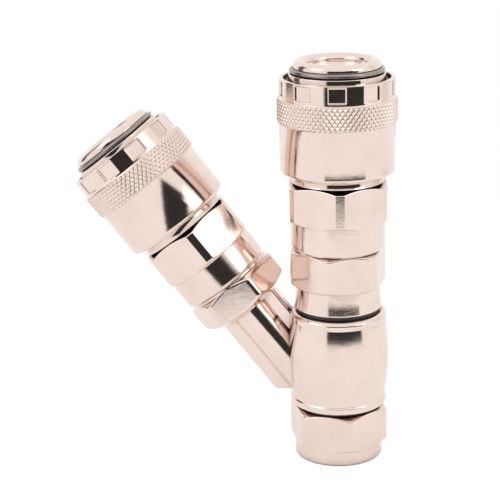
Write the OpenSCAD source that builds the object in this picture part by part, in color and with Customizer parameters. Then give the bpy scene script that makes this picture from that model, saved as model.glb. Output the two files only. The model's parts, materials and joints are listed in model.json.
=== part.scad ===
// Two-way swivel quick coupler for an air line: an upright quick socket and a second one
// on a slanted cast arm, fed by one hexagonal inlet that the arm swivels round.
// Millimetres, +Z up, origin at the middle of the inlet's bottom face.
// The arm leans towards -X. Each socket is drawn upright with its own zero at the bottom
// plane of its hexagon, and is then set on the inlet or on the arm.

/* [Inlet fitting] */
// Width across flats of the inlet hexagon
inlet_hex_af = 20.5; // [20:0.1:21.5]
// Diameter of the round end below the inlet hexagon
inlet_end_d = 20.3; // [19.4:0.1:20.4]
// Height of the round end
inlet_end_h = 3.4; // [2.5:0.1:4]
// Height of the top face of the inlet hexagon
inlet_top_z = 12.2; // [12:0.1:12.4]
// Minor diameter of the inlet's G 3/8 female thread
inlet_port_d = 14.95; // [14.9:0.01:15.3]
// Depth of the inlet's threaded port
inlet_port_depth = 10; // [9:0.1:10.2]
// Turn of the inlet hexagon about the vertical
inlet_hex_turn = 50; // [0:1:59]

/* [Swivel stem] */
// Diameter of the hollow stem that the barrel turns on
stem_d = 13; // [12.8:0.1:13.2]
// Bore of the hollow stem
stem_bore_d = 8; // [7:0.1:8.4]
// Radial clearance between the stem and the barrel
swivel_gap = 0.06; // [0.03:0.01:0.1]
// Thickness of the two thrust washers
washer_h = 0.8; // [0.7:0.1:0.8]
// Thickness of the O-rings on the stem
o_ring_d = 1.5; // [1.3:0.1:1.5]

/* [Barrel and arm] */
// Height of the barrel's bottom face
barrel_z = 13.1; // [13.1:0.1:13.2]
// Height of the barrel's top face
barrel_top_z = 35.5; // [35.4:0.1:35.5]
// Radius of the barrel's end rims
rim_r = 11.2; // [11:0.05:11.4]
// Radius of the barrel at the middle of its bulge
bulge_r = 11.75; // [11.5:0.05:12]
// Lean of the arm from the vertical
arm_tilt = 38; // [36:1:40]
// Height at which the arm's axis meets the vertical axis
cross_z = 9; // [8.8:0.1:9.2]
// Diameter of the arm's round tube
arm_d = 9.6; // [9.2:0.1:10]
// Bore of the arm
arm_bore_d = 6.6; // [6:0.1:7]
// Reach of the two webs on either side of the arm's axis
web_reach = 7.6; // [7:0.1:7.8]
// Thickness of the webs
web_t = 3.6; // [3:0.1:4]
// Width across flats of the arm's cast hexagonal collar
collar_af = 20.4; // [19.6:0.1:21]

/* [Adapter] */
// Width across flats of the adapter's hexagon
adapter_hex_af = 20.4; // [20:0.1:21]
// Diameter that the adapter's hexagon is turned down to over its corners
adapter_hex_d = 22.3; // [22:0.1:22.6]
// Turn of the adapter's hexagon about the vertical
adapter_hex_turn = 20; // [0:1:59]

/* [Quick sockets] */
// Width across flats of a socket's hexagon
socket_hex_af = 22; // [21:0.1:22.4]
// Diameter that a socket's hexagon is turned down to over its corners
socket_hex_d = 24.4; // [24:0.1:24.8]
// Turn of the upright socket's hexagon about its axis
straight_hex_turn = 37; // [0:1:59]
// Turn of the slanted socket's hexagon about its axis
branch_hex_turn = 46; // [0:1:59]
// Bore of a socket's mouth, for the plug's nose
mouth_d = 12.1; // [12:0.05:12.2]
// Diameter of the locking balls
ball_d = 4.76; // [4.7:0.01:4.8]
// How far a locking ball draws back when its sleeve is pulled
ball_travel = 0.9; // [0.8:0.05:0.9]
// How far a sleeve pulls back towards its hexagon
sleeve_travel = 2; // [1.8:0.1:2]

/* [Sleeves] */
// Outer diameter of a sleeve's smooth body
sleeve_d = 26; // [25.8:0.1:26]
// Outer diameter of a sleeve's crown, in front of the knurl
crown_d = 25.9; // [25.6:0.1:26]
// Outer diameter over the tips of the knurl
knurl_d = 27.2; // [26.8:0.1:27.4]
// Depth of the knurl's grooves
knurl_depth = 0.4; // [0.2:0.05:0.45]
// Number of diamonds round the knurl
knurl_count = 72; // [60:1:80]
// Number of half rows of diamonds along the knurl
knurl_rows = 7; // [5:1:9]
// Number of pockets round the crown
pocket_count = 10; // [8:1:12]
// Depth of a pocket's flat floor
pocket_depth = 0.5; // [0.3:0.05:0.55]
// Turn of the upright sleeve about its axis
straight_sleeve_turn = 22.6; // [0:0.2:36]
// Turn of the slanted sleeve about its axis
branch_sleeve_turn = 11.2; // [0:0.2:36]

/* [Hidden] */
$fn = 64;
eps = 0.01;
nickel = [0.86, 0.82, 0.79];
steel = [0.62, 0.61, 0.6];
brass = [0.78, 0.62, 0.32];
rubber = [0.1, 0.1, 0.1];
polymer = [0.16, 0.15, 0.15];

// Inlet port
port_chamfer = 0.9;

// Stem and barrel
stem_r = stem_d / 2;
swivel_r = stem_r + swivel_gap;
chamber_r = 8.6;
chamber_z = [18.5, 30.5];
o_ring_z = [15.8, 33];
o_ring_r = stem_r - o_ring_d / 2 + 0.03;
stem_port_z = 24.5;
stem_port_d = 4.6;
adapter_z = 36.4;
stem_top_z = 46.8;
washer_r = 9.6;

// Adapter
adapter_hex_z = [41.6, 50.5];
spigot_r = 8;
spigot_h = 5.6;
spigot_chamfer = 0.8;
flow_bore_r = 3.6;

// Socket, along its own axis from the bottom plane of its hexagon
body_z = -6.5;
body_r = 10.85;
socket_hex_h = 9.3;
neck_r = 10.6;
skirt_guide_z = [12, 14];
skirt_r = 11.7;
sleeve_z = 11;
shoulder_z = 24;
land_r = 9.95;
ramp_z = 25.8;
ramp_end_z = 28.4;
relief_end_z = 29.4;
hub_r = 10.9;
hub_z = 33.8;
crown_groove_z = 30.9;
crown_groove_r = 12;
crown_z = 32.9;
knurl_z = [22.8, 28.4];
knurl_end_r = sleeve_d / 2 + 0.12;
nose_r = 9.87;
nose_thread_r = 8.6;
nose_z = 6;
valve_bore_r = 6.9;
packing_z = [19, 22.2];
packing_r = 7.9;
packing_hole_r = 5.3;
spring_seat_z = 2;
mouth_z = 35.6;
mouth_end_z = 29.2;
mouth_relief = 0.4;
lip_z = 34.8;
lip_r = 1.97;
ring_z = 34.45;
ring_wire_r = 0.575;
ring_r = 10.1;
ball_z = 26.4;
ball_r = ball_d / 2;
ball_seat_r = 7.55;
ball_fit = 0.05;
straight_z = 57;
branch_z = 48.6;
collar_z = [34.1, branch_z + body_z];
collar_turn = 6;
arm_spigot_z = collar_z[1] + spigot_h;

// Points of an arc about c, from angle a to angle b, in n steps
function arc(c, r, a, b, n) =
    [for (i = [0:n]) c + r * [cos(a + (b - a) * i / n), sin(a + (b - a) * i / n)]];

// A point on the arm's axis at distance s, moved t across it in the plane of both axes
function arm_point(s, t) =
    [-s * sin(arm_tilt) - t * cos(arm_tilt), cross_z + s * cos(arm_tilt) - t * sin(arm_tilt)];

module on_straight() translate([0, 0, straight_z]) children();
module on_arm(s = 0) translate([0, 0, cross_z]) rotate([0, -arm_tilt, 0]) translate([0, 0, s]) children();
module on_branch() on_arm(branch_z) children();

// A hexagonal bar from z0 to z1, turned to diameter d over its corners, with a 30 degree
// chamfer at each end that starts at radius r0 below and r1 above
module turned_hex(af, d, z0, z1, r0, r1, turn) {
    rt = d / 2;
    intersection() {
        rotate([0, 0, turn])
            translate([0, 0, z0])
                cylinder(h = z1 - z0, r = af / 2 / cos(30), $fn = 6);
        rotate_extrude()
            polygon([[0, z0], [r0, z0], [rt, z0 + (rt - r0) * tan(30)],
                     [rt, z1 - (rt - r1) * tan(30)], [r1, z1], [0, z1]]);
    }
}

// A round wire ring: wire radius w, at radius r and height z, over the given angle
module wire_ring(r, z, w, angle = 360) {
    rotate_extrude(angle = angle)
        translate([r, z])
            circle(r = w);
}

// A coil spring between two heights with closed ends, of wire radius w at mean radius r
module coil(r, w, z0, z1, turns, steps = 12, sides = 6) {
    n = turns * steps;
    rise = z1 - z0 - 2 * w;
    // the first and last turns lie nearly flat
    function climb(u) = u < 1 ? 0.12 * u
        : u > turns - 1 ? 1 - 0.12 * (turns - u) : 0.12 + 0.76 * (u - 1) / (turns - 2);
    pts = [for (i = [0:n]) let (a = i * 360 / steps, z = z0 + w + rise * climb(i / steps))
        for (j = [0:sides - 1]) let (b = j * 360 / sides)
            [(r + w * cos(b)) * cos(a), (r + w * cos(b)) * sin(a), z + w * sin(b)]];
    polyhedron(pts, concat(
        [[for (j = [0:sides - 1]) j]],
        [for (i = [0:n - 1], j = [0:sides - 1]) let (k = (j + 1) % sides)
            [i * sides + j, (i + 1) * sides + j, (i + 1) * sides + k, i * sides + k]],
        [[for (j = [sides - 1:-1:0]) n * sides + j]]));
}

module inlet_fitting() {
    color(nickel)
    difference() {
        union() {
            // round end with a broken edge
            rotate_extrude()
                polygon([[0, 0], [inlet_end_d / 2 - 0.45, 0], [inlet_end_d / 2 - 0.15, 0.15],
                         [inlet_end_d / 2, 0.5], [inlet_end_d / 2, inlet_end_h + 1],
                         [0, inlet_end_h + 1]]);
            turned_hex(inlet_hex_af, inlet_hex_af / cos(30) - 0.3, inlet_end_h, inlet_top_z,
                       inlet_end_d / 2, 10.1, inlet_hex_turn);
            cylinder(h = stem_top_z, r = stem_r);
        }
        // threaded port with a lead-in chamfer, and the bore up the stem
        translate([0, 0, -eps]) cylinder(h = inlet_port_depth + eps, d = inlet_port_d);
        translate([0, 0, -eps])
            cylinder(h = port_chamfer, r1 = inlet_port_d / 2 + port_chamfer, r2 = inlet_port_d / 2);
        cylinder(h = stem_top_z + 1, d = stem_bore_d);
        // four ports that feed the barrel's chamber
        for (a = [0, 90])
            translate([0, 0, stem_port_z]) rotate([0, 90, a + 45])
                cylinder(h = stem_d + 2, d = stem_port_d, center = true);
        // grooves for the O-rings
        for (z = o_ring_z)
            translate([0, 0, z - 1])
                difference() {
                    cylinder(h = 2, r = stem_r + 1);
                    translate([0, 0, -1]) cylinder(h = 4, r = o_ring_r - o_ring_d / 2 - eps);
                }
    }
}

module thrust_washer(z) {
    color(polymer)
    translate([0, 0, z])
        difference() {
            cylinder(h = washer_h, r = washer_r);
            translate([0, 0, -1]) cylinder(h = washer_h + 2, r = swivel_r);
        }
}

module stem_o_ring(z) {
    color(rubber)
    wire_ring(o_ring_r, z, o_ring_d / 2);
}

// Neck, hexagon and threaded spigot, screwed down on the stem
module adapter() {
    top = adapter_hex_z[1] + spigot_h;
    color(nickel)
    difference() {
        union() {
            rotate_extrude()
                polygon([[0, adapter_z], [9.9, adapter_z], [10.1, adapter_z + 0.2],
                         [9.85, adapter_z + 2.6], [9.7, adapter_hex_z[0] + 1],
                         [0, adapter_hex_z[0] + 1]]);
            turned_hex(adapter_hex_af, adapter_hex_d, adapter_hex_z[0], adapter_hex_z[1],
                       9.8, 10.1, adapter_hex_turn);
            // spigot, from inside the hexagon up
            translate([0, 0, adapter_hex_z[1] - 1])
                cylinder(h = spigot_h + 1 - spigot_chamfer, r = spigot_r);
            translate([0, 0, top - spigot_chamfer])
                cylinder(h = spigot_chamfer, r1 = spigot_r, r2 = spigot_r - spigot_chamfer);
        }
        translate([0, 0, adapter_z - 1]) cylinder(h = stem_top_z + 0.2 - adapter_z + 1, r = stem_r);
        cylinder(h = top + 1, r = flow_bore_r);
    }
}

// Outline of the swivel barrel, with rims above and below the bulge
module barrel_outline() {
    low = [rim_r - 0.25, barrel_z + 3];
    high = [rim_r - 0.15, barrel_top_z - 2.1];
    half = (high[1] - low[1]) / 2;
    sag = bulge_r - (low[0] + high[0]) / 2;
    curve_r = (half * half + sag * sag) / (2 * sag);
    sweep = asin(half / curve_r);
    polygon(concat(
        [[0, barrel_z], [rim_r - 0.35, barrel_z], [rim_r, barrel_z + 0.3],
         [rim_r, barrel_z + 1.5], [rim_r - 0.25, barrel_z + 1.75]],
        arc([bulge_r - curve_r, low[1] + half], curve_r, -sweep, sweep, 14),
        [[rim_r, barrel_top_z - 2], [rim_r, barrel_top_z - 0.8],
         [rim_r - 0.25, barrel_top_z - 0.4], [10.3, barrel_top_z], [0, barrel_top_z]]));
}

// The arm's hexagonal collar, with rounded corners and turned bevels
module collar() {
    round_r = 1.6;
    apex = (collar_af / 2 - round_r) / cos(30);
    h = collar_z[1] - collar_z[0];
    intersection() {
        rotate([0, 0, collar_turn])
            linear_extrude(height = h)
                polygon([for (k = [0:5]) for (p = arc(apex * [cos(60 * k), sin(60 * k)],
                    round_r, 60 * k - 30, 60 * k + 30, 4)) p]);
        rotate_extrude()
            polygon([[0, 0], [8.6, 0], [11.5, 1.7], [11.5, h - 1.3], [10.2, h - 0.5],
                     [10.2, h], [0, h]]);
    }
}

// The webs above and below the arm's tube, as one plate with bevelled edges
module webs() {
    foot_z = 15.5;
    outline = [arm_point(collar_z[0] + 1, web_reach),
               arm_point(14.6, web_reach), [arm_point(14.6, web_reach)[0] + 0.6, foot_z],
               [-8, foot_z], arm_point(18, -web_reach), arm_point(collar_z[0] + 1, -web_reach)];
    bevel = 0.5;
    rotate([90, 0, 0])
        hull() {
            linear_extrude(height = web_t - 2 * bevel, center = true) polygon(outline);
            linear_extrude(height = web_t, center = true) offset(delta = -bevel) polygon(outline);
        }
}

// Swivel barrel, arm, webs, collar and spigot: one casting
module arm_barrel() {
    color(nickel)
    difference() {
        union() {
            rotate_extrude() barrel_outline();
            on_arm(12) cylinder(h = collar_z[0] - 11, d = arm_d);
            webs();
            on_arm(collar_z[0]) collar();
            on_arm(collar_z[1] - 1) cylinder(h = spigot_h + 1 - spigot_chamfer, r = spigot_r);
            on_arm(arm_spigot_z - spigot_chamfer)
                cylinder(h = spigot_chamfer, r1 = spigot_r, r2 = spigot_r - spigot_chamfer);
        }
        translate([0, 0, barrel_z - 1]) cylinder(h = barrel_top_z - barrel_z + 2, r = swivel_r);
        translate([0, 0, chamber_z[0]]) cylinder(h = chamber_z[1] - chamber_z[0], r = chamber_r);
        on_arm(13) cylinder(h = arm_spigot_z, d = arm_bore_d);
    }
}

// Rear body of a socket: threaded port, round part, hexagon and the guide for the sleeve
module socket_body(turn) {
    color(nickel)
    difference() {
        union() {
            rotate_extrude()
                polygon([[0, body_z], [body_r - 0.5, body_z], [body_r, body_z + 0.5],
                         [body_r, 1], [0, 1]]);
            turned_hex(socket_hex_af, socket_hex_d, 0, socket_hex_h, 10.7, 10.65, turn);
            rotate_extrude()
                polygon([[0, 1], [neck_r, 1], [neck_r, skirt_guide_z[0]],
                         [skirt_r - 0.1, skirt_guide_z[0] + 0.5], [skirt_r - 0.1, skirt_guide_z[1]],
                         [0, skirt_guide_z[1]]]);
        }
        translate([0, 0, body_z - 1]) cylinder(h = 1 + spigot_h + 0.2, r = spigot_r);
        translate([0, 0, body_z]) cylinder(h = skirt_guide_z[1], r = flow_bore_r);
        translate([0, 0, spring_seat_z]) cylinder(h = skirt_guide_z[1], r = valve_bore_r);
        translate([0, 0, nose_z]) cylinder(h = skirt_guide_z[1], r = nose_thread_r);
    }
}

// Front body of a socket: it takes the plug, and holds the balls, packing and valve
module socket_nose() {
    color(nickel)
    difference() {
        rotate_extrude()
            polygon(concat(
                [[valve_bore_r, nose_z], [nose_thread_r, nose_z], [nose_thread_r, skirt_guide_z[1]],
                 [nose_r, skirt_guide_z[1]]],
                arc([ring_r, ring_z], ring_wire_r + 0.03, 248, 112, 8),
                arc([nose_r - lip_r, lip_z], lip_r, 6, 114, 10),
                [[mouth_d / 2, mouth_z], [mouth_d / 2, mouth_end_z],
                 [mouth_d / 2 + mouth_relief, mouth_end_z - mouth_relief],
                 [mouth_d / 2 + mouth_relief, packing_z[1]],
                 [packing_r, packing_z[1]],
                 [packing_r, packing_z[0]], [valve_bore_r, packing_z[0]]]));
        for (k = [0:3])
            rotate([0, 0, 90 * k])
                translate([ball_seat_r, 0, ball_z]) {
                    sphere(r = ball_r + ball_fit);
                    rotate([0, 90, 0]) cylinder(h = 4, r = ball_r + ball_fit);
                }
    }
}

// Outer surface of the diamond knurl as one closed solid: each diamond is a four-sided
// pyramid between two crossing helical grooves, and its ends are low and flat
module knurl() {
    n = knurl_count;
    step_a = 360 / n;
    step_z = (knurl_z[1] - knurl_z[0]) / knurl_rows;
    tip_r = knurl_d / 2;
    root_r = tip_r - knurl_depth;
    function at(r, a, z) = [r * cos(a), r * sin(a), z];
    // row k of groove crossings, and row k of tips half a diamond further round
    crossings = [for (k = [0:knurl_rows], i = [0:n - 1])
        at(k == 0 || k == knurl_rows ? knurl_end_r : root_r,
           (i + (k % 2) / 2) * step_a, knurl_z[0] + k * step_z)];
    tips = [for (k = [1:knurl_rows - 1], i = [0:n - 1])
        at(tip_r, (i + ((k + 1) % 2) / 2) * step_a, knurl_z[0] + k * step_z)];
    function c(k, i) = k * n + (i + n) % n;
    function t(k, i) = (knurl_rows + 1 + k - 1) * n + i;
    // on odd rows a tip lies between crossings i-1 and i, on even rows between i and i+1
    function left(k, i) = k % 2 == 1 ? c(k, i - 1) : c(k, i);
    function right(k, i) = k % 2 == 1 ? c(k, i) : c(k, i + 1);
    sides = [for (k = [1:knurl_rows - 1], i = [0:n - 1])
        for (f = [[c(k - 1, i), left(k, i)], [left(k, i), c(k + 1, i)],
                  [c(k + 1, i), right(k, i)], [right(k, i), c(k - 1, i)]])
            [t(k, i), f[0], f[1]]];
    top = knurl_rows;
    bottom_edge = [for (i = [0:n - 1]) [c(0, i), c(1, i), c(0, i + 1)]];
    top_edge = [for (i = [0:n - 1])
        top % 2 == 1 ? [c(top, i - 1), c(top, i), c(top - 1, i)]
                     : [c(top, i), c(top, i + 1), c(top - 1, i)]];
    polyhedron(concat(crossings, tips), concat(
        sides, bottom_edge, top_edge,
        [[for (i = [0:n - 1]) c(0, i)], [for (i = [n - 1:-1:0]) c(top, i)]]));
}

// Sliding sleeve: knurled band, pocketed crown, and a ramp inside that the balls ride on
module socket_sleeve(turn) {
    r = sleeve_d / 2;
    rc = crown_d / 2;
    color(nickel)
    rotate([0, 0, turn])
    difference() {
        union() {
            rotate_extrude()
                polygon([[0, sleeve_z], [r - 0.8, sleeve_z], [r, sleeve_z + 0.8], [r, knurl_z[0] + 1],
                         [rc, knurl_z[0] + 1], [rc, crown_z - 0.3], [rc - 0.1, crown_z - 0.1],
                         [rc - 0.3, crown_z], [crown_groove_r + 0.2, crown_z],
                         [crown_groove_r, crown_z - 0.2], [crown_groove_r, crown_groove_z],
                         [hub_r, crown_groove_z], [hub_r, hub_z - 0.2], [hub_r - 0.2, hub_z],
                         [0, hub_z]]);
            knurl();
        }
        // inside: skirt over the spring, land, ramp, relief and front land
        rotate_extrude()
            polygon([[0, sleeve_z - 1], [skirt_r, sleeve_z - 1], [skirt_r, shoulder_z],
                     [land_r, shoulder_z], [land_r, ramp_z],
                     [land_r + (ramp_end_z - ramp_z) * ball_travel / sleeve_travel, ramp_end_z],
                     [land_r + (ramp_end_z - ramp_z) * ball_travel / sleeve_travel, relief_end_z],
                     [land_r, relief_end_z + (ramp_end_z - ramp_z) * ball_travel / sleeve_travel],
                     [land_r, hub_z + 1], [0, hub_z + 1]]);
        // pockets round the crown
        for (k = [0:pocket_count - 1])
            rotate([0, 0, 360 / pocket_count * k])
                translate([rc - pocket_depth, -1.98, 29.1]) cube([2, 3.96, 3.3]);
    }
}

module sleeve_spring() {
    color(steel)
    coil(10.8, 0.5, skirt_guide_z[1] + 0.02, shoulder_z - 0.02, 5);
}

// Snap ring, open at the back
module snap_ring() {
    color(steel)
    rotate([0, 0, 100])
        wire_ring(ring_r, ring_z, ring_wire_r, 340);
}

// Rubber packing that seals on the plug, and that the valve closes against
module packing() {
    color(rubber)
    rotate_extrude()
        polygon([[packing_hole_r, packing_z[0] + 0.4], [packing_hole_r + 0.4, packing_z[0]],
                 [packing_r, packing_z[0]], [packing_r, packing_z[1]],
                 [packing_hole_r + 0.9, packing_z[1]], [packing_hole_r, packing_z[1] - 0.9]]);
}

// Cup-shaped valve with a boss that the plug pushes on, and four side windows
module valve() {
    top = packing_z[0] - 0.05;
    color(brass)
    difference() {
        rotate_extrude()
            polygon([[0, 10], [valve_bore_r - 0.06, 10], [valve_bore_r - 0.06, 13.4], [6.3, 13.9],
                     [6.3, top - 0.3], [6, top], [4.9, top], [4.6, top + 1.1], [4.2, top + 1.4],
                     [0, top + 1.4]]);
        translate([0, 0, 9]) cylinder(h = 8.3, r = 5);
        for (a = [0, 90])
            translate([0, 0, 15.5]) rotate([0, 90, a + 45])
                cylinder(h = 20, r = 1.3, center = true);
    }
}

module valve_spring() {
    color(steel)
    coil(4.35, 0.4, spring_seat_z + 0.02, 17.28, 7);
}

module ball(k) {
    color(steel)
    rotate([0, 0, 90 * (k - 1)])
        translate([ball_seat_r, 0, ball_z])
            sphere(d = ball_d);
}

inlet_fitting();
thrust_washer(inlet_top_z);  // lower_thrust_washer
stem_o_ring(o_ring_z[0]);  // lower_o_ring
stem_o_ring(o_ring_z[1]);  // upper_o_ring
thrust_washer(adapter_z - washer_h);  // upper_thrust_washer
adapter();
arm_barrel();
on_straight() socket_body(straight_hex_turn);  // straight_body
on_straight() socket_nose();  // straight_nose
on_straight() socket_sleeve(straight_sleeve_turn);  // straight_sleeve
on_straight() sleeve_spring();  // straight_sleeve_spring
on_straight() snap_ring();  // straight_snap_ring
on_straight() packing();  // straight_packing
on_straight() valve();  // straight_valve
on_straight() valve_spring();  // straight_valve_spring
on_straight() ball(1);  // straight_ball_1
on_straight() ball(2);  // straight_ball_2
on_straight() ball(3);  // straight_ball_3
on_straight() ball(4);  // straight_ball_4
on_branch() socket_body(branch_hex_turn);  // branch_body
on_branch() socket_nose();  // branch_nose
on_branch() socket_sleeve(branch_sleeve_turn);  // branch_sleeve
on_branch() sleeve_spring();  // branch_sleeve_spring
on_branch() snap_ring();  // branch_snap_ring
on_branch() packing();  // branch_packing
on_branch() valve();  // branch_valve
on_branch() valve_spring();  // branch_valve_spring
on_branch() ball(1);  // branch_ball_1
on_branch() ball(2);  // branch_ball_2
on_branch() ball(3);  // branch_ball_3
on_branch() ball(4);  // branch_ball_4
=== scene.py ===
# %% [markdown]
# # A two-way swivel coupler for an air line
# This lesson dresses a finished mechanical model: a nickel-plated coupler with two quick
# sockets. The construction file already holds each part at its real size, so nothing is
# moved here. The visible parts are made again with finer, softer surfaces, because bright
# plating shows every facet and every knife edge that a construction model has.

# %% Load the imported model
import math
import json

import bpy
import bmesh
import numpy as np
from mathutils import Matrix, Vector


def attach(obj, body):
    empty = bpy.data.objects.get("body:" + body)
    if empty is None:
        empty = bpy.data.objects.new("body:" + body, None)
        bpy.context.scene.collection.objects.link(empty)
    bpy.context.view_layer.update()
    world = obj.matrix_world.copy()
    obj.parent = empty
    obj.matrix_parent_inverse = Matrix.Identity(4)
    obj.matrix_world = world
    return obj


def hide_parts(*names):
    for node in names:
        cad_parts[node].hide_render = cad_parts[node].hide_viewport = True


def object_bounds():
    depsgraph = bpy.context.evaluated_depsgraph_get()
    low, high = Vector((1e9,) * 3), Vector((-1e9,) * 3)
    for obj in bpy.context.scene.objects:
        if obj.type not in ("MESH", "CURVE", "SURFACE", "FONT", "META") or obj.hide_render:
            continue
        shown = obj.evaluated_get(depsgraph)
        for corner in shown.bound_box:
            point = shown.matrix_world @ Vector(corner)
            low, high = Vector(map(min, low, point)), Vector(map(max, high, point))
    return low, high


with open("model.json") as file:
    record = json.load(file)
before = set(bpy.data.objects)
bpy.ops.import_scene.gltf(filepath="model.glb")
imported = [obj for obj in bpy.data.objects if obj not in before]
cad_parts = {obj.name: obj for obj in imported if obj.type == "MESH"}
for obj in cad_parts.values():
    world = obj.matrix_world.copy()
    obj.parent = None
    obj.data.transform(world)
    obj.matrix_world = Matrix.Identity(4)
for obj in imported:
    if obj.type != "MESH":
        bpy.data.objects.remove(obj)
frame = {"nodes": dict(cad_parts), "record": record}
cad_low, cad_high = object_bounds()
nodes = frame["nodes"]
mounts = {m["name"]: m for m in frame["record"]["mounts"]}
MM = 0.001
print("construction box, mm:", [round(v / MM, 2) for v in (*cad_low, *cad_high)])

# %% [markdown]
# ## Where the sockets stand
# Both sockets are the same product, one upright and one leaning on the arm. Each is shaped
# upright round its own Z axis, with its zero at the bottom plane of its hexagon, and a
# matrix then carries it to its place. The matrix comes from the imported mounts.

# %% Axes of the two sockets
MOUTH_MIDDLE = 32.4  # from the hexagon's bottom plane to the middle of the plain mouth


def socket_place(side):
    """Matrix from a socket's own millimetres to the model's metres."""
    axis = Vector(mounts[side + "_mouth"]["axis"]).normalized()
    origin = Vector(mounts[side + "_mouth"]["pos_m"]) - axis * MOUTH_MIDDLE * MM
    across = Vector((0, 1, 0)).cross(axis).normalized()
    turn = Matrix((across, Vector((0, 1, 0)), axis)).transposed().to_4x4()
    return Matrix.Translation(origin) @ turn @ Matrix.Scale(MM, 4)


PLACE = {side: socket_place(side) for side in ("straight", "branch")}
UPRIGHT = Matrix.Scale(MM, 4)
BODY = {"straight": "inlet", "branch": "arm"}
print("arm leans", round(math.degrees(Vector(mounts["branch_mouth"]["axis"]).angle((0, 0, 1))), 1), "degrees")

# %% [markdown]
# ## Camera
# The view is from a little above and just right of straight on, through a long lens, so
# that upright edges stay nearly parallel. The camera is made from where it stands and what
# it looks at.

# %% Camera
CAMERA_AT = Vector((27.35, -340.1, 152.5)) * MM
CAMERA_AIM = Vector((-19.99, -2.51, 49.89)) * MM
CAMERA_ROLL = math.radians(-1.22)
LENS = 111.6

view = (CAMERA_AIM - CAMERA_AT).to_track_quat("-Z", "Y").to_matrix().to_4x4()
camera_data = bpy.data.cameras.new("camera")
camera_data.lens = LENS
camera_data.sensor_width = 36
camera_data.clip_start = 0.01
camera = bpy.data.objects.new("camera", camera_data)
camera.matrix_world = Matrix.Translation(CAMERA_AT) @ view @ Matrix.Rotation(CAMERA_ROLL, 4, "Z")
bpy.context.scene.collection.objects.link(camera)
bpy.context.scene.camera = camera
bpy.context.scene.view_settings.view_transform = "Standard"
print("camera", round(CAMERA_AT.length / MM), "mm from the foot, lens", LENS, "mm")

# %% [markdown]
# ## A small kit for shader nodes
# Every material below is a Principled shader with a few nodes before it, so one helper
# makes a node, sets its plain values and returns it.


# %% Shader helpers
def add(tree, kind, label="", **values):
    """A node with its properties set, and its unlinked inputs set by name or place."""
    node = tree.nodes.new(kind)
    node.label = label
    for key, value in values.items():
        if key == "inputs":
            for socket, v in value.items():
                node.inputs[socket].default_value = v
        else:
            setattr(node, key, value)
    return node


def new_material(name):
    """An empty node material with a Principled shader joined to its output."""
    material = bpy.data.materials.new(name)
    material.use_nodes = True
    tree = material.node_tree
    tree.nodes.clear()
    shader = add(tree, "ShaderNodeBsdfPrincipled")
    output = add(tree, "ShaderNodeOutputMaterial")
    tree.links.new(shader.outputs[0], output.inputs[0])
    return material, tree, shader


def maths_for(tree):
    """A function that adds one Math node to the tree and returns its result."""
    def maths(operation, *values):
        node = add(tree, "ShaderNodeMath", operation=operation)
        for k, value in enumerate(values):
            if isinstance(value, (int, float)):
                node.inputs[k].default_value = value
            else:
                tree.links.new(value, node.inputs[k])
        return node.outputs[0]
    return maths
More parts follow.
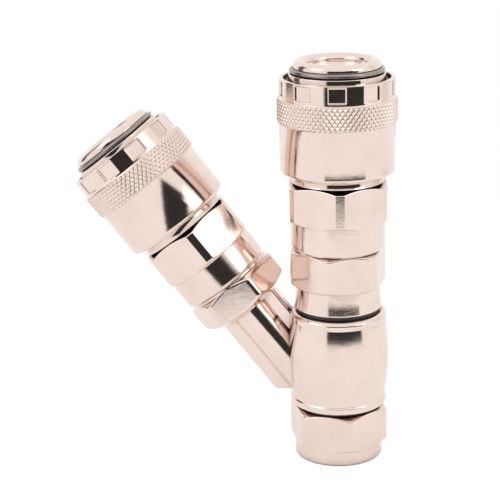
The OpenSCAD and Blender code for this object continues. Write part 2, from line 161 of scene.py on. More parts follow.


# %% [markdown]
# ## One finish group for all the metal
# Plated and polished metal isn't a perfect mirror. It has a faint orange peel from the plating bath,
# hairlines from the polishing wheel and a slight change of colour from place to place. One node group
# makes all three, and each metal sets its own amounts. The same group also paints shade into the
# crevices as a dark brown colour.


# %% Finish group
def finish_group():
    group = bpy.data.node_groups.new("Worked metal with painted shade", "ShaderNodeTree")
    face = group.interface
    # the last two inputs are the dark brown of the painted crevice shade and how far its ambient occlusion
    # looks
    for name, kind, value in (("Colour", "NodeSocketColor", (0.8, 0.8, 0.8, 1)),
                              ("Tarnish", "NodeSocketColor", (0.6, 0.5, 0.4, 1)),
                              ("Roughness", "NodeSocketFloat", 0.1),
                              ("Tarnish amount", "NodeSocketFloat", 0.2),
                              ("Peel height", "NodeSocketFloat", 0.05),
                              ("Hairline height", "NodeSocketFloat", 0.05),
                              ("Painted shade colour", "NodeSocketColor", (0.1, 0.055, 0.03, 1)),
                              ("Painted shade reach", "NodeSocketFloat", 0.004)):
        socket = face.new_socket(name, in_out="INPUT", socket_type=kind)
        socket.default_value = value
    for name, kind in (("Colour", "NodeSocketColor"), ("Roughness", "NodeSocketFloat"),
                       ("Normal", "NodeSocketVector")):
        face.new_socket(name, in_out="OUTPUT", socket_type=kind)
    given = add(group, "NodeGroupInput")
    out = add(group, "NodeGroupOutput")
    place = add(group, "ShaderNodeTexCoord")
    link = group.links.new
    # slow clouds of tarnish, in the colour and the roughness
    cloud = add(group, "ShaderNodeTexNoise", "tarnish", inputs={"Scale": 160, "Detail": 4})
    link(place.outputs["Object"], cloud.inputs["Vector"])
    fade = add(group, "ShaderNodeMapRange", inputs={"From Min": 0.42, "From Max": 0.75})
    link(cloud.outputs["Fac"], fade.inputs["Value"])
    amount = add(group, "ShaderNodeMath", operation="MULTIPLY")
    link(fade.outputs["Result"], amount.inputs[0])
    link(given.outputs["Tarnish amount"], amount.inputs[1])
    tint = add(group, "ShaderNodeMix", data_type="RGBA")
    link(amount.outputs[0], tint.inputs["Factor"])
    link(given.outputs["Colour"], tint.inputs["A"])
    link(given.outputs["Tarnish"], tint.inputs["B"])
    # painted shade: where ambient occlusion finds a crevice, the colour is mixed towards a dark brown
    crevice_occlusion = add(group, "ShaderNodeAmbientOcclusion", samples=8)
    link(given.outputs["Painted shade reach"], crevice_occlusion.inputs["Distance"])
    unshaded = add(group, "ShaderNodeMapRange", inputs={"From Min": 0.22, "From Max": 0.68})
    link(crevice_occlusion.outputs["AO"], unshaded.inputs["Value"])
    painted_shade_mix = add(group, "ShaderNodeMix", data_type="RGBA")
    link(unshaded.outputs["Result"], painted_shade_mix.inputs["Factor"])
    link(given.outputs["Painted shade colour"], painted_shade_mix.inputs["A"])
    link(tint.outputs["Result"], painted_shade_mix.inputs["B"])
    link(painted_shade_mix.outputs["Result"], out.inputs["Colour"])
    rough = add(group, "ShaderNodeMath", operation="MULTIPLY_ADD", inputs={1: 0.25})
    link(amount.outputs[0], rough.inputs[0])
    link(given.outputs["Roughness"], rough.inputs[2])
    link(rough.outputs[0], out.inputs["Roughness"])
    # orange peel, then hairlines, as two bumps in a row
    peel = add(group, "ShaderNodeTexNoise", "peel", inputs={"Scale": 420, "Detail": 2})
    link(place.outputs["Object"], peel.inputs["Vector"])
    peel_bump = add(group, "ShaderNodeBump", inputs={"Distance": 0.0004})
    link(peel.outputs["Fac"], peel_bump.inputs["Height"])
    link(given.outputs["Peel height"], peel_bump.inputs["Strength"])
    stretch = add(group, "ShaderNodeMapping", inputs={"Scale": (300, 300, 9000)})
    link(place.outputs["Object"], stretch.inputs["Vector"])
    hair = add(group, "ShaderNodeTexNoise", "hairlines", inputs={"Scale": 1, "Detail": 3})
    link(stretch.outputs[0], hair.inputs["Vector"])
    hair_bump = add(group, "ShaderNodeBump", inputs={"Distance": 0.0002})
    link(hair.outputs["Fac"], hair_bump.inputs["Height"])
    link(given.outputs["Hairline height"], hair_bump.inputs["Strength"])
    link(peel_bump.outputs[0], hair_bump.inputs["Normal"])
    link(hair_bump.outputs[0], out.inputs["Normal"])
    return group


WORKED_AND_SHADED = finish_group()


def metal(name, colour, tarnish, roughness, amount, peel, hairline):
    """A metal whose colour, roughness and normal all come through the finish group."""
    material, tree, shader = new_material(name)
    group = add(tree, "ShaderNodeGroup", node_tree=WORKED_AND_SHADED)
    group.inputs["Colour"].default_value = (*colour, 1)
    group.inputs["Tarnish"].default_value = (*tarnish, 1)
    for key, value in (("Roughness", roughness), ("Tarnish amount", amount),
                       ("Peel height", peel), ("Hairline height", hairline)):
        group.inputs[key].default_value = value
    tree.links.new(group.outputs["Colour"], shader.inputs["Base Color"])
    tree.links.new(group.outputs["Roughness"], shader.inputs["Roughness"])
    tree.links.new(group.outputs["Normal"], shader.inputs["Normal"])
    shader.inputs["Metallic"].default_value = 1
    return material


# %% [markdown]
# ## Four metals
# Polished nickel plate is pale with a warm cast. The spring wire, the balls and the valve
# are left as drawn steel, ground steel and turned brass.

# %% The metals
NICKEL = metal("nickel plate", (0.87, 0.72, 0.655), (0.66, 0.47, 0.38), 0.09, 0.2, 0.03, 0.03)
STEEL = metal("drawn steel", (0.36, 0.32, 0.3), (0.22, 0.18, 0.16), 0.17, 0.4, 0.05, 0.15)
BALL_STEEL = metal("ground steel", (0.62, 0.6, 0.58), (0.5, 0.45, 0.4), 0.08, 0.2, 0.0, 0.0)
BRASS = metal("turned brass", (0.55, 0.33, 0.12), (0.3, 0.15, 0.06), 0.22, 0.6, 0.04, 0.2)


# %% [markdown]
# ## Rubber and nylon
# The seals and washers are nearly black. Soft parts scatter light off a fine grain, so each
# has a grain in its normal and a little unevenness in its roughness.


# %% Rubber and nylon
def moulded(name, colour, roughness, grain):
    material, tree, shader = new_material(name)
    place = add(tree, "ShaderNodeTexCoord")
    noise = add(tree, "ShaderNodeTexNoise", inputs={"Scale": grain, "Detail": 4})
    tree.links.new(place.outputs["Object"], noise.inputs["Vector"])
    spread = add(tree, "ShaderNodeMapRange",
                 inputs={"To Min": roughness - 0.1, "To Max": roughness + 0.1})
    tree.links.new(noise.outputs["Fac"], spread.inputs["Value"])
    tree.links.new(spread.outputs["Result"], shader.inputs["Roughness"])
    bump = add(tree, "ShaderNodeBump", inputs={"Strength": 0.2, "Distance": 0.0001})
    tree.links.new(noise.outputs["Fac"], bump.inputs["Height"])
    tree.links.new(bump.outputs[0], shader.inputs["Normal"])
    shader.inputs["Base Color"].default_value = (*colour, 1)
    return material


RUBBER = moulded("nitrile rubber", (0.02, 0.02, 0.021), 0.55, 2500)
NYLON = moulded("black nylon", (0.03, 0.028, 0.028), 0.4, 1500)

# %% [markdown]
# ## Turned surfaces from a profile
# A part made on a lathe is a profile swept round an axis. With a profile that may change
# with the angle, the same sweep also makes hexagons, crown pockets and threads. The
# profile is a closed loop of corners, and each corner is softened by a short curve, since
# no real edge is a knife edge. Two extra points beside each curve keep the flats flat.


# %% Profile helpers
def soften(corners, steps=4):
    """Closed loop of (radius, height, softness) to an array [angles, points, 2].
    A radius or height may be a number or an array with one value for each angle."""
    count = max(np.size(v) for c in corners for v in c[:2])
    pts = np.array([[np.broadcast_to(c[0], count), np.broadcast_to(c[1], count)] for c in corners])
    pts = np.moveaxis(pts.astype(float), 2, 0)
    soft = [c[2] if len(c) > 2 else 0 for c in corners]
    out = []
    n = len(corners)
    for i in range(n):
        a, b, c = pts[:, i - 1], pts[:, i], pts[:, (i + 1) % n]
        if soft[i] == 0:
            out.append(b)
            continue
        la = np.maximum(np.linalg.norm(a - b, axis=1, keepdims=True), 1e-6)
        lc = np.maximum(np.linalg.norm(c - b, axis=1, keepdims=True), 1e-6)
        ta = np.minimum(soft[i], 0.4 * la) / la
        tc = np.minimum(soft[i], 0.4 * lc) / lc
        start, end = b + (a - b) * ta, b + (c - b) * tc
        out.append(b + (a - b) * ta * 1.2)
        for t in np.linspace(0, 1, steps + 1):
            out.append((1 - t) ** 2 * start + 2 * t * (1 - t) * b + t ** 2 * end)
        out.append(b + (c - b) * tc * 1.2)
    return np.stack(out, axis=1)


def arc(centre, radius, start, end, steps):
    """Corners along an arc in the profile's plane, angles in degrees from +radius."""
    return [(centre[0] + radius * math.cos(math.radians(a)),
             centre[1] + radius * math.sin(math.radians(a))) for a in np.linspace(start, end, steps + 1)]


def sweep(name, profile, place, segments, edit=None):
    """Sweeps a profile array round Z, edits the points if asked, and puts the mesh in place."""
    profile = np.broadcast_to(profile, (segments, *profile.shape[1:])).copy()
    angle = np.arange(segments) * 2 * np.pi / segments
    if edit is not None:
        edit(profile, angle)
    radius, height = profile[..., 0], profile[..., 1]
    points = np.stack([radius * np.cos(angle)[:, None], radius * np.sin(angle)[:, None], height], -1)
    rows = profile.shape[1]
    i, j = np.meshgrid(np.arange(segments), np.arange(rows), indexing="ij")
    i2, j2 = (i + 1) % segments, (j + 1) % rows
    quads = np.stack([i * rows + j, i2 * rows + j, i2 * rows + j2, i * rows + j2], -1).reshape(-1, 4)
    mesh = bpy.data.meshes.new(name)
    mesh.from_pydata(points.reshape(-1, 3).tolist(), [], quads.tolist())
    return put(name, mesh, place)


def put(name, mesh, place):
    """Makes an object of a mesh, with its place in the mesh, faces out and smooth."""
    mesh.transform(place)
    work = bmesh.new()
    work.from_mesh(mesh)
    bmesh.ops.recalc_face_normals(work, faces=work.faces)
    work.to_mesh(mesh)
    work.free()
    mesh.shade_smooth()
    piece = bpy.data.objects.new(name, mesh)
    bpy.context.scene.collection.objects.link(piece)
    return piece


def dress(piece, material, body, slot, *replaced):
    """Gives a finished piece its material and its body, and hides the construction nodes that it stands for.
    """
    piece.data.materials.clear()
    piece.data.materials.append(material)
    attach(piece, body)
    if replaced:
        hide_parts(*replaced)
    print(piece.name, len(piece.data.polygons), "faces")


# %% [markdown]
# ## Hexagons turned at the ends
# A hexagonal bar goes in the lathe, and a 30 degree tool breaks its ends. That leaves the
# curved arcs that every nut has on its flats. Here it is one rule: the radius is that of
# the flat at that angle or of the turned corner, whichever is less, and the two cones
# start lower where that radius is larger.


# %% Hexagon helpers
TAN30 = math.tan(math.radians(30))


def hex_radius(segments, across_flats, turned, turn, blend=0.035):
    """Radius of a turned hexagon at each angle, with its edges slightly blended."""
    angle = np.arange(segments) * 360 / segments - turn
    flat = across_flats / 2 / np.cos(np.radians(angle % 60 - 30))
    return -blend * np.log(np.exp((turned / 2 - flat) / blend) + 1) + turned / 2


def hex_band(radius, low, high, low_start, high_start, soft=0.22):
    """The corners of a hexagon's side between two heights."""
    return [(low_start, low), (radius, low + (radius - low_start) * TAN30, soft),
            (radius, high - (radius - high_start) * TAN30, soft), (high_start, high, 0.1)]


# %% [markdown]
# ## Inlet fitting
# The hexagon at the foot takes the spanner and the air line. Its port has a fine pipe
# thread, 19 turns to the inch. The profile's points on the port wall are moved in and out
# by a wave that climbs one pitch for each turn, which makes the helix with no extra part.

# %% Inlet fitting
THREAD_PITCH = 25.4 / 19
THREAD_DEPTH = 0.85
PORT_WALL = 7.475
THREAD_TOP = 9.6
INLET_SEGMENTS = 480


def inlet_profile(segments):
    r = hex_radius(segments, 20.5, 23.3, 50)
    wall = [(PORT_WALL, z) for z in np.linspace(THREAD_TOP, 0.95, 66)]
    return soften(
        [(8.4, 0, 0.1), (10.15, 0, 0.4), (10.15, 3.4, 0.06)] + hex_band(r, 3.42, 12.2, 10.2, 10.1)[1:]
        + [(6.5, 12.2), (6.5, 46.8, 0.3), (4, 46.8, 0.3), (4, 10), (PORT_WALL, 10)] + wall)


def cut_thread(profile, angle):
    wall = (np.abs(profile[..., 0] - PORT_WALL) < 0.01) & (profile[..., 1] < THREAD_TOP + 0.05)
    phase = (profile[..., 1] / THREAD_PITCH - angle[:, None] / (2 * np.pi)) % 1
    groove = np.clip(1.35 - 2.7 * np.abs(phase - 0.5), 0, 1)
    fade = np.clip((profile[..., 1] - 0.9) / 0.6, 0, 1) * np.clip((THREAD_TOP - profile[..., 1]) / 0.8, 0, 1)
    profile[..., 0] += np.where(wall, THREAD_DEPTH * groove * fade, 0)


inlet = sweep("inlet_hexagon", inlet_profile(INLET_SEGMENTS), UPRIGHT, INLET_SEGMENTS, cut_thread)
dress(inlet, NICKEL, "inlet", "nickel", "inlet_fitting")

# %% [markdown]
# ## Adapter
# The adapter screws down on the swivel stem and holds the barrel. Its neck swells a little
# towards the barrel, and its hexagon is turned round at the corners.

# %% Adapter
ADAPTER_SEGMENTS = 480


def adapter_profile(segments):
    r = hex_radius(segments, 20.4, 22.3, 20)
    return soften(
        [(6.5, 36.4), (9.95, 36.4, 0.15), (10.1, 36.65, 0.15), (9.85, 39, 0.8), (9.7, 41.5, 0.1)]
        + hex_band(r, 41.6, 50.5, 9.8, 10.1)[1:]
        + [(8, 50.5), (8, 55.3), (7.2, 56.1), (3.6, 56.1), (3.6, 47), (6.5, 47)])


adapter = sweep("neck_adapter", adapter_profile(ADAPTER_SEGMENTS), UPRIGHT, ADAPTER_SEGMENTS)
dress(adapter, NICKEL, "inlet", "nickel", "adapter")

# %% [markdown]
# ## Rear bodies of the sockets
# One profile serves both sockets. Only the turn of the hexagon differs, as it does on any
# fitting that is screwed up tight and stops where it stops.

# %% Socket bodies
SOCKET_SEGMENTS = 480
SOCKET_HEX_TURN = {"straight": 37, "branch": 46}


def body_profile(segments, turn):
    r = hex_radius(segments, 22, 24.4, turn)
    return soften(
        [(8, -6.5), (10.3, -6.5, 0.1), (10.85, -5.95, 0.2), (10.85, 0.05, 0.05)]
        + hex_band(r, 0, 9.3, 10.7, 10.65)[1:]
        + [(10.6, 9.35), (10.6, 12), (11.6, 12.5, 0.1), (11.6, 14, 0.1), (8.6, 14), (8.6, 6),
           (6.9, 6), (6.9, 2), (3.6, 2), (3.6, -0.7), (8, -0.7)])


for side in ("straight", "branch"):
    profile = body_profile(SOCKET_SEGMENTS, SOCKET_HEX_TURN[side])
    piece = sweep(side + "_rear_body", profile, PLACE[side], SOCKET_SEGMENTS)
    dress(piece, NICKEL, BODY[side], "nickel", side + "_body")

# %% [markdown]
# ## Front bodies with their lips
# The plug goes in at a wide rounded lip. Below it a round groove holds the snap ring, and
# four holes hold the balls. A swept surface can't have side holes, so a Boolean cuts them
# with four ball-ended drills.

# %% Front bodies
NOSE_SEGMENTS = 256
BALL_SEAT = (7.55, 26.4)
BALL_RADIUS = 2.38
BALL_FIT = 0.05
LIP_BEAD = (8.37, 35.27)
LIP_RADIUS = 1.5
RING_GROOVE = (10.1, 34.45)
GROOVE_RADIUS = 0.605


def nose_profile():
    return soften(
        [(6.9, 6), (8.6, 6), (8.6, 14), (9.87, 14, 0.1)]
        + arc(RING_GROOVE, GROOVE_RADIUS, 248, 112, 10)
        + arc(LIP_BEAD, LIP_RADIUS, 0, 172, 34)
        + [(6.85, 34.9, 0.1), (6.05, 33.2, 0.3), (6.05, 29.2), (6.45, 28.8), (6.45, 22.2),
           (7.9, 22.2), (7.9, 19), (6.9, 19)])


def ball_drills():
    """The ball ends of four drills, at the balls' seats, as one mesh."""
    mesh = bpy.data.meshes.new("drills")
    work = bmesh.new()
    for k in range(4):
        seat = Matrix.Translation((BALL_SEAT[0], 0, BALL_SEAT[1]))
        place = Matrix.Rotation(math.radians(90 * k), 4, "Z") @ seat
        around = Matrix.Rotation(math.radians(90), 4, "Y")
        bmesh.ops.create_uvsphere(work, u_segments=32, v_segments=24, radius=BALL_RADIUS + BALL_FIT,
                                  matrix=place @ around)
    work.to_mesh(mesh)
    work.free()
    drill = bpy.data.objects.new("drills", mesh)
    bpy.context.scene.collection.objects.link(drill)
    return drill


def apply_modifiers(piece):
    """Turns a piece and its modifiers into one plain mesh."""
    graph = bpy.context.evaluated_depsgraph_get()
    mesh = bpy.data.meshes.new_from_object(piece.evaluated_get(graph))
    piece.modifiers.clear()
    piece.data = mesh
    return piece


for side in ("straight", "branch"):
    piece = sweep(side + "_front_body", nose_profile(), Matrix.Identity(4), NOSE_SEGMENTS)
    drill = ball_drills()
    cut = piece.modifiers.new("ball holes", "BOOLEAN")
    cut.operation = "DIFFERENCE"
    cut.object = drill
    cut.solver = "EXACT"
    apply_modifiers(piece)
    bpy.data.objects.remove(drill)
    piece.data.transform(PLACE[side])
    dress(piece, NICKEL, BODY[side], "nickel", side + "_nose")

# %% [markdown]
# ## Knurled sleeves
# The sleeve is what a hand pulls. Its crown has ten shallow flat-bottomed pockets, and the
# band behind it has a diamond knurl. The plain sleeve is swept first, with a fine grid on
# the band. Geometry Nodes then raise the knurl: two sets of crossing grooves, each a
# triangle wave round a helix, and the lower of the two waves is the height of the metal.

# %% Knurl tree
KNURL_BAND = (22.8, 28.4)
KNURL_CELL = 1.6
KNURL_RUN_OUT = 0.22
PLAIN_RADIUS = 13.02  # only metal outside this radius is raised


def knurl_tree():
    tree = bpy.data.node_groups.new("Diamond knurl", "GeometryNodeTree")
    face = tree.interface
    face.new_socket("Geometry", in_out="INPUT", socket_type="NodeSocketGeometry")
    for name, value in (("Diamonds", 72.0), ("Cell", KNURL_CELL), ("Low", KNURL_BAND[0]),
                        ("High", KNURL_BAND[1]), ("Depth", 0.4)):
        face.new_socket(name, in_out="INPUT", socket_type="NodeSocketFloat").default_value = value
    face.new_socket("Finish", in_out="INPUT", socket_type="NodeSocketMaterial")
    face.new_socket("Geometry", in_out="OUTPUT", socket_type="NodeSocketGeometry")
    given, out = add(tree, "NodeGroupInput"), add(tree, "NodeGroupOutput")
    link = tree.links.new
    maths = maths_for(tree)
    position = add(tree, "GeometryNodeInputPosition")
    parts = add(tree, "ShaderNodeSeparateXYZ")
    link(position.outputs[0], parts.inputs[0])
    x, y, z = parts.outputs
    cells = maths("MULTIPLY", maths("ARCTAN2", y, x), given.outputs["Diamonds"])
    around = maths("DIVIDE", cells, 2 * math.pi)
    along = maths("DIVIDE", maths("SUBTRACT", z, given.outputs["Low"]), given.outputs["Cell"])
    one = maths("MULTIPLY", maths("PINGPONG", maths("ADD", around, along), 0.5), 2)
    other = maths("MULTIPLY", maths("PINGPONG", maths("SUBTRACT", around, along), 0.5), 2)
    height = maths("SMOOTH_MIN", maths("SMOOTH_MIN", one, other, 0.12), 0.94, 0.12)
    # the knurl dies out at both ends of its band
    from_low = maths("DIVIDE", maths("SUBTRACT", z, given.outputs["Low"]), KNURL_RUN_OUT)
    from_high = maths("DIVIDE", maths("SUBTRACT", given.outputs["High"], z), KNURL_RUN_OUT)
    fade = maths("MINIMUM", maths("MINIMUM", from_low, from_high), 1)
    radius = maths("SQRT", maths("ADD", maths("MULTIPLY", x, x), maths("MULTIPLY", y, y)))
    outside = maths("GREATER_THAN", radius, PLAIN_RADIUS)
    lift = maths("MULTIPLY", maths("MULTIPLY", maths("MULTIPLY", height, maths("MAXIMUM", fade, 0)),
                                   given.outputs["Depth"]), outside)
    flat = add(tree, "ShaderNodeCombineXYZ")
    link(maths("DIVIDE", x, radius), flat.inputs[0])
    link(maths("DIVIDE", y, radius), flat.inputs[1])
    offset = add(tree, "ShaderNodeVectorMath", operation="SCALE")
    link(flat.outputs[0], offset.inputs[0])
    link(lift, offset.inputs["Scale"])
    move = add(tree, "GeometryNodeSetPosition")
    link(given.outputs["Geometry"], move.inputs["Geometry"])
    link(offset.outputs[0], move.inputs["Offset"])
    real = add(tree, "GeometryNodeRealizeInstances")
    paint = add(tree, "GeometryNodeSetMaterial")
    link(move.outputs[0], real.inputs[0])
    link(real.outputs[0], paint.inputs["Geometry"])
    link(given.outputs["Finish"], paint.inputs["Material"])
    link(paint.outputs[0], out.inputs[0])
    return tree


KNURL = knurl_tree()


def run_tree(piece, tree, **values):
    """Runs a Geometry Nodes tree on a piece with named values, and keeps the plain mesh."""
    modifier = piece.modifiers.new("tree", "NODES")
    modifier.node_group = tree
    for item in tree.interface.items_tree:
        if item.in_out == "INPUT" and item.name in values:
            modifier[item.identifier] = values[item.name]
    return apply_modifiers(piece)


# %% [markdown]
# ## Sweeping a sleeve
# The crown's points are pushed in to a flat floor at each pocket, with a short slope at the
# pocket's edge. The knurl tree then runs on the band.

# %% Sleeves
SLEEVE_SEGMENTS = 720
SLEEVE_TURN = {"straight": 22.6, "branch": 11.2}
POCKETS = 10
POCKET_HALF = 8.75
POCKET_BAND = (29.1, 32.4)
POCKET_FLOOR = 12.45


def sleeve_profile():
    band = [(13.2, z) for z in np.linspace(KNURL_BAND[0] + 0.14, KNURL_BAND[1] - 0.14, 52)]
    crown = [(12.95, z) for z in np.linspace(28.6, 32.5, 40)]
    return soften(
        [(11.7, 11, 0.05), (12.2, 11, 0.15), (13, 11.8, 0.25), (13, 22.7), (13.1, 22.8)]
        + band + [(13.1, 28.4), (12.95, 28.45)] + crown
        + [(12.95, 32.9, 0.3), (12, 32.9, 0.22), (12, 30.9), (10.9, 30.9), (10.9, 33.8, 0.2),
           (9.95, 33.8, 0.1), (9.95, 30.57), (11.12, 29.4), (11.12, 28.4), (9.95, 25.8),
           (9.95, 24), (11.7, 24)])


def cut_pockets(turn):
    """Returns an edit that sinks a flat floor into the crown at each pocket."""
    def edit(profile, angle):
        degrees = (np.degrees(angle)[:, None] - turn + 180 / POCKETS) % (360 / POCKETS) - 180 / POCKETS
        z = profile[..., 1]
        inside = np.clip((POCKET_HALF - np.abs(degrees)) / 0.6 + 0.5, 0, 1)
        inside = inside * np.clip((z - POCKET_BAND[0]) / 0.12 + 0.5, 0, 1)
        inside = inside * np.clip((POCKET_BAND[1] - z) / 0.12 + 0.5, 0, 1)
        inside = inside * inside * (3 - 2 * inside)
        floor = POCKET_FLOOR / np.cos(np.radians(degrees))
        sink = (profile[..., 0] > 12.9) & (z > 28.5) & (z < 32.7)
        sunk = profile[..., 0] + inside * (floor - profile[..., 0])
        profile[..., 0] = np.where(sink, sunk, profile[..., 0])
    return edit


for side in ("straight", "branch"):
    piece = sweep(side + "_knurled_sleeve", sleeve_profile(), Matrix.Identity(4), SLEEVE_SEGMENTS,
                  cut_pockets(SLEEVE_TURN[side]))
    run_tree(piece, KNURL, Finish=NICKEL)
    piece.data.transform(PLACE[side])
    dress(piece, NICKEL, side + "_sleeve", "nickel", side + "_sleeve")

# %% [markdown]
# ## Snap rings
# The ring is a piece of round spring wire, bent open and snapped into its groove. In
# Geometry Nodes it is an arc with a circle swept along it, its two cut ends closed.


# %% Snap ring tree
def ring_tree():
    tree = bpy.data.node_groups.new("Wire ring", "GeometryNodeTree")
    face = tree.interface
    for name, value in (("Radius", 10.1), ("Wire radius", 0.575), ("Height", 34.45),
                        ("Start", math.radians(100)), ("Sweep", math.radians(340))):
        face.new_socket(name, in_out="INPUT", socket_type="NodeSocketFloat").default_value = value
    face.new_socket("Finish", in_out="INPUT", socket_type="NodeSocketMaterial")
    face.new_socket("Geometry", in_out="OUTPUT", socket_type="NodeSocketGeometry")
    given, out = add(tree, "NodeGroupInput"), add(tree, "NodeGroupOutput")
    link = tree.links.new
    line = add(tree, "GeometryNodeCurveArc", inputs={"Resolution": 220})
    link(given.outputs["Radius"], line.inputs["Radius"])
    link(given.outputs["Start"], line.inputs["Start Angle"])
    link(given.outputs["Sweep"], line.inputs["Sweep Angle"])
    wire = add(tree, "GeometryNodeCurvePrimitiveCircle", inputs={"Resolution": 28})
    link(given.outputs["Wire radius"], wire.inputs["Radius"])
    tube = add(tree, "GeometryNodeCurveToMesh", inputs={"Fill Caps": True})
    link(line.outputs[0], tube.inputs["Curve"])
    link(wire.outputs[0], tube.inputs["Profile Curve"])
    up = add(tree, "ShaderNodeCombineXYZ")
    link(given.outputs["Height"], up.inputs[2])
    lift = add(tree, "GeometryNodeSetPosition")
    link(tube.outputs[0], lift.inputs["Geometry"])
    link(up.outputs[0], lift.inputs["Offset"])
    real = add(tree, "GeometryNodeRealizeInstances")
    paint = add(tree, "GeometryNodeSetMaterial")
    link(lift.outputs[0], real.inputs[0])
    link(real.outputs[0], paint.inputs["Geometry"])
    link(given.outputs["Finish"], paint.inputs["Material"])
    link(paint.outputs[0], out.inputs[0])
    return tree


RING = ring_tree()

# %% [markdown]
# ## Fitting the rings
# Each ring is made round its own axis and carried to its socket, like every other part.

# %% Snap rings
for side in ("straight", "branch"):
    piece = put(side + "_wire_ring", bpy.data.meshes.new("ring"), Matrix.Identity(4))
    run_tree(piece, RING, Finish=STEEL)
    piece.data.transform(PLACE[side])
    piece.data.shade_smooth()
    dress(piece, STEEL, BODY[side], "spring_steel", side + "_snap_ring")

# %% [markdown]
# ## Barrel and arm
# This is the one casting. Its barrel is a sweep with a bulged side and a rim at each end.
# The arm's tube, its two webs and the hexagonal collar are separate forms at first, and a
# Boolean joins them, as the mould did.

# %% Barrel and arm
ARM_TILT = Vector(mounts["branch_mouth"]["axis"]).angle((0, 0, 1))
CROSS_Z = 9
WEB_REACH = 7.6
WEB_THICKNESS = 3.6
COLLAR = (34.1, 42.1)
ARM_PLACE = Matrix.Translation((0, 0, CROSS_Z)) @ Matrix.Rotation(-ARM_TILT, 4, "Y")


def barrel_profile():
    low, high, middle = (10.95, 16.1), (11.05, 33.4), (11.75, 24.75)
    half = (high[1] - low[1]) / 2
    sag = middle[0] - (low[0] + high[0]) / 2
    radius = (half ** 2 + sag ** 2) / (2 * sag)
    swing = math.degrees(math.asin(half / radius))
    side = arc((middle[0] - radius, middle[1]), radius, -swing, swing, 40)
    return soften(
        [(6.56, 13.1), (10.9, 13.1, 0.1), (11.2, 13.4, 0.2), (11.2, 14.6, 0.15), (10.97, 14.9, 0.1)]
        + side + [(11.17, 33.5, 0.1), (11.2, 34.75, 0.3), (10.75, 35.3, 0.3), (10.2, 35.5, 0.15),
                  (6.56, 35.5)])


def arm_point(s, t):
    """Point in the plane of both axes, s along the arm's axis and t across it."""
    return (-s * math.sin(ARM_TILT) - t * math.cos(ARM_TILT),
            CROSS_Z + s * math.cos(ARM_TILT) - t * math.sin(ARM_TILT))


def web_plate():
    """Plate of both webs, in the plane of both axes, with its edges bevelled."""
    foot = 15.5
    bend = arm_point(14.6, WEB_REACH)
    outline = [arm_point(COLLAR[0] + 1, WEB_REACH), bend, (bend[0] + 0.6, foot), (-8, foot),
               arm_point(18, -WEB_REACH), arm_point(COLLAR[0] + 1, -WEB_REACH)]
    mesh = bpy.data.meshes.new("webs")
    work = bmesh.new()
    ring = [work.verts.new((x, -WEB_THICKNESS / 2, z)) for x, z in outline]
    plate = work.faces.new(ring)
    pushed = bmesh.ops.extrude_face_region(work, geom=[plate])
    moved = [v for v in pushed["geom"] if isinstance(v, bmesh.types.BMVert)]
    bmesh.ops.translate(work, vec=(0, WEB_THICKNESS, 0), verts=moved)
    bmesh.ops.recalc_face_normals(work, faces=work.faces)
    bmesh.ops.bevel(work, geom=list(work.edges), offset=0.7, segments=4, affect="EDGES", profile=0.5)
    work.to_mesh(mesh)
    work.free()
    return put("webs", mesh, Matrix.Identity(4))


def collar_profile(segments):
    angle = np.arange(segments) * 360 / segments - 6
    soft_radius, apex = 1.6, (10.2 - 1.6) / math.cos(math.radians(30))
    off = np.radians((angle + 30) % 60 - 30)
    flat = 10.2 / np.cos(np.radians(30) - np.abs(off))
    rounded = apex * np.cos(off) + np.sqrt(np.maximum(soft_radius ** 2 - (apex * np.sin(off)) ** 2, 0))
    reach = math.atan2(soft_radius * 0.5, apex + soft_radius * math.cos(math.radians(30)))
    r = np.where(np.abs(off) < reach, np.minimum(rounded, flat), flat)
    cone_low = np.minimum(1.7, (r - 8.6) * 1.7 / 2.9)
    cone_high = np.minimum(1.3, 0.5 + (r - 10.2) * 0.8 / 1.3)
    return soften([(2, COLLAR[0]), (8.6, COLLAR[0], 0.3), (r, COLLAR[0] + cone_low, 0.5),
                   (r, COLLAR[1] - cone_high, 0.4), (10.2, COLLAR[1] - 0.5, 0.1), (10.2, COLLAR[1], 0.15),
                   (8, COLLAR[1]), (8, COLLAR[1] + 5.6), (2, COLLAR[1] + 5.6)])


def join(base, other):
    """Boolean union of two solids, and the second one is gone."""
    union = base.modifiers.new("union", "BOOLEAN")
    union.operation = "UNION"
    union.object = other
    union.solver = "EXACT"
    apply_modifiers(base)
    bpy.data.objects.remove(other)
    return base


barrel = sweep("swivel_barrel_and_arm", barrel_profile(), Matrix.Identity(4), 360)
tube_corners = soften([(2, 10.2), (4.8, 10.2), (4.8, COLLAR[0] + 1), (2, COLLAR[0] + 1)])
join(barrel, sweep("tube", tube_corners, ARM_PLACE, 160))
join(barrel, web_plate())
join(barrel, sweep("collar", collar_profile(480), ARM_PLACE, 480))
barrel.data.transform(UPRIGHT)
barrel.data.shade_smooth()
barrel.data.set_sharp_from_angle(angle=math.radians(38))
dress(barrel, NICKEL, "arm", "nickel", "arm_barrel")

# %% [markdown]
# ## Parts that keep their construction mesh
# The valves, balls, seals, washers and springs are right as they are, and are seen only
# down a mouth or from below. They take their finish in their own material slots.

# %% Inner parts
INNER = {"thrust_washer": NYLON, "o_ring": RUBBER, "packing": RUBBER, "valve": BRASS,
         "spring": STEEL, "ball_": BALL_STEEL}
for name, node in nodes.items():
    found = [material for part, material in INNER.items() if part in name]
    if found:
        node.data.materials.clear()
        node.data.materials.append(found[-1])
print(len(nodes), "nodes in the construction model")

# %% [markdown]
# ## Studio
# Bright metal shows its surroundings more than itself. It stands on a small round white
# table. Upright walls mirror the table and so look pale, and only surfaces that lean back
# mirror the room beyond its edge.

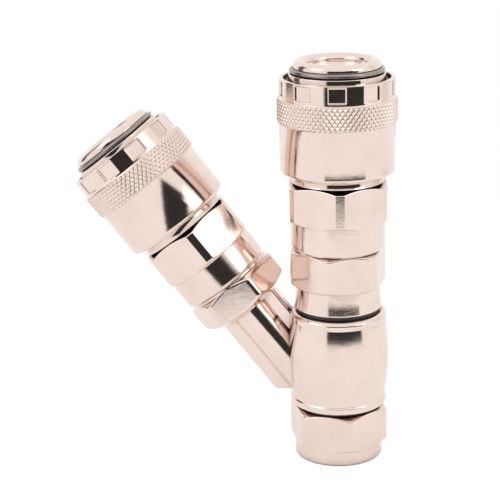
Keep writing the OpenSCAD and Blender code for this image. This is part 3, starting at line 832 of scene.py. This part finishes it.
# %% Floor
TABLE_RADIUS = 0.24
floor_mesh = bpy.data.meshes.new("floor")
rim = [math.radians(5 * k) for k in range(72)]
edge = [(TABLE_RADIUS * math.cos(a), TABLE_RADIUS * math.sin(a), 0) for a in rim]
floor_mesh.from_pydata(edge, [], [tuple(range(72))])
floor = bpy.data.objects.new("floor", floor_mesh)
bpy.context.scene.collection.objects.link(floor)
floor_paint, tree, shader = new_material("pale floor")
shader.inputs["Base Color"].default_value = (0.9, 0.9, 0.9, 1)
shader.inputs["Roughness"].default_value = 0.9
shader.inputs["Emission Color"].default_value = (1, 1, 1, 1)
seen = add(tree, "ShaderNodeLightPath")
mirrored = add(tree, "ShaderNodeMath", operation="MULTIPLY", inputs={1: 0.27})
tree.links.new(seen.outputs["Is Glossy Ray"], mirrored.inputs[0])
glow = add(tree, "ShaderNodeMath", operation="MULTIPLY_ADD", inputs={1: 0.5})
tree.links.new(seen.outputs["Is Camera Ray"], glow.inputs[0])
tree.links.new(mirrored.outputs[0], glow.inputs[2])
tree.links.new(glow.outputs[0], shader.inputs["Emission Strength"])
floor_mesh.materials.append(floor_paint)
print("table", TABLE_RADIUS, "m in radius")

# %% [markdown]
# ## A white room with dark panels
# A wide dark panel behind the camera gives the black patches, a narrower one at the left
# gives a streak down that side, and a faint one at the right a little grey. The room is
# white to the camera and in reflections, and milder as a light.

# %% World
ROOM_LIGHT = 0.75
world = bpy.data.worlds.new("studio")
bpy.context.scene.world = world
world.use_nodes = True
tree = world.node_tree
tree.nodes.clear()
link = tree.links.new
where = add(tree, "ShaderNodeTexCoord")
parts = add(tree, "ShaderNodeSeparateXYZ")
link(where.outputs["Generated"], parts.inputs[0])
seen = add(tree, "ShaderNodeLightPath")
world_maths = maths_for(tree)
compass = world_maths("ARCTAN2", parts.outputs["X"], parts.outputs["Y"])


def dark_panel(bearing, width, low, high, depth, soft=0.06):
    """Darkness of a panel of the room's wall, 0 outside it: bearing and width in degrees from
    +Y towards +X, low and high as the height of the direction, from -1 to 1."""
    off = world_maths("ABSOLUTE", world_maths("WRAP", world_maths("SUBTRACT", compass, math.radians(bearing)),
                                              math.pi, -math.pi))
    side = world_maths("DIVIDE", world_maths("SUBTRACT", math.radians(width / 2), off), soft)
    up = world_maths("DIVIDE", world_maths("SUBTRACT", parts.outputs["Z"], low), soft)
    down = world_maths("DIVIDE", world_maths("SUBTRACT", high, parts.outputs["Z"]), soft)
    inside = world_maths("MINIMUM", world_maths("MINIMUM", side, up), down)
    return world_maths("MULTIPLY", world_maths("MINIMUM", world_maths("MAXIMUM", inside, 0), 1), depth)


panels = [dark_panel(-76, 30, -0.6, 0.6, 0.87, 0.12), dark_panel(160, 84, -0.5, 0.33, 0.97, 0.035),
          dark_panel(65, 34, -0.6, 0.7, 0.14, 0.2)]
dark = world_maths("MAXIMUM", world_maths("MAXIMUM", panels[0], panels[1]), panels[2])
bright = world_maths("SUBTRACT", 1, dark)
room = add(tree, "ShaderNodeMix", data_type="FLOAT")
link(seen.outputs["Is Glossy Ray"], room.inputs["Factor"])
room.inputs["A"].default_value = ROOM_LIGHT
link(bright, room.inputs["B"])
shown = add(tree, "ShaderNodeMix", data_type="FLOAT")
link(seen.outputs["Is Camera Ray"], shown.inputs["Factor"])
link(room.outputs["Result"], shown.inputs["A"])
shown.inputs["B"].default_value = 1
back = add(tree, "ShaderNodeBackground", inputs={"Color": (1, 1, 1, 1)})
link(shown.outputs["Result"], back.inputs["Strength"])
end = add(tree, "ShaderNodeOutputWorld")
link(back.outputs[0], end.inputs[0])


print("room with", len(panels), "dark panels")

# %% [markdown]
# ## Two soft lamps
# Each is about as bright as the white room where the metal mirrors it, so it adds a shadow
# on the table and no burnt patch.


# %% Lamps
def softbox(name, at, aim, size, power):
    """A square lamp at a point, in metres, facing another point."""
    data = bpy.data.lights.new(name, "AREA")
    data.size = size
    data.energy = power
    lamp = bpy.data.objects.new(name, data)
    at = Vector(at)
    turn = (Vector(aim) - at).to_track_quat("-Z", "Y").to_matrix().to_4x4()
    lamp.matrix_world = Matrix.Translation(at) @ turn
    bpy.context.scene.collection.objects.link(lamp)


middle = (cad_low + cad_high) / 2
softbox("left softbox", (-0.5, -0.35, 0.45), middle, 0.35, 0.4)
softbox("right softbox", (0.55, -0.3, 0.35), middle, 0.3, 0.3)
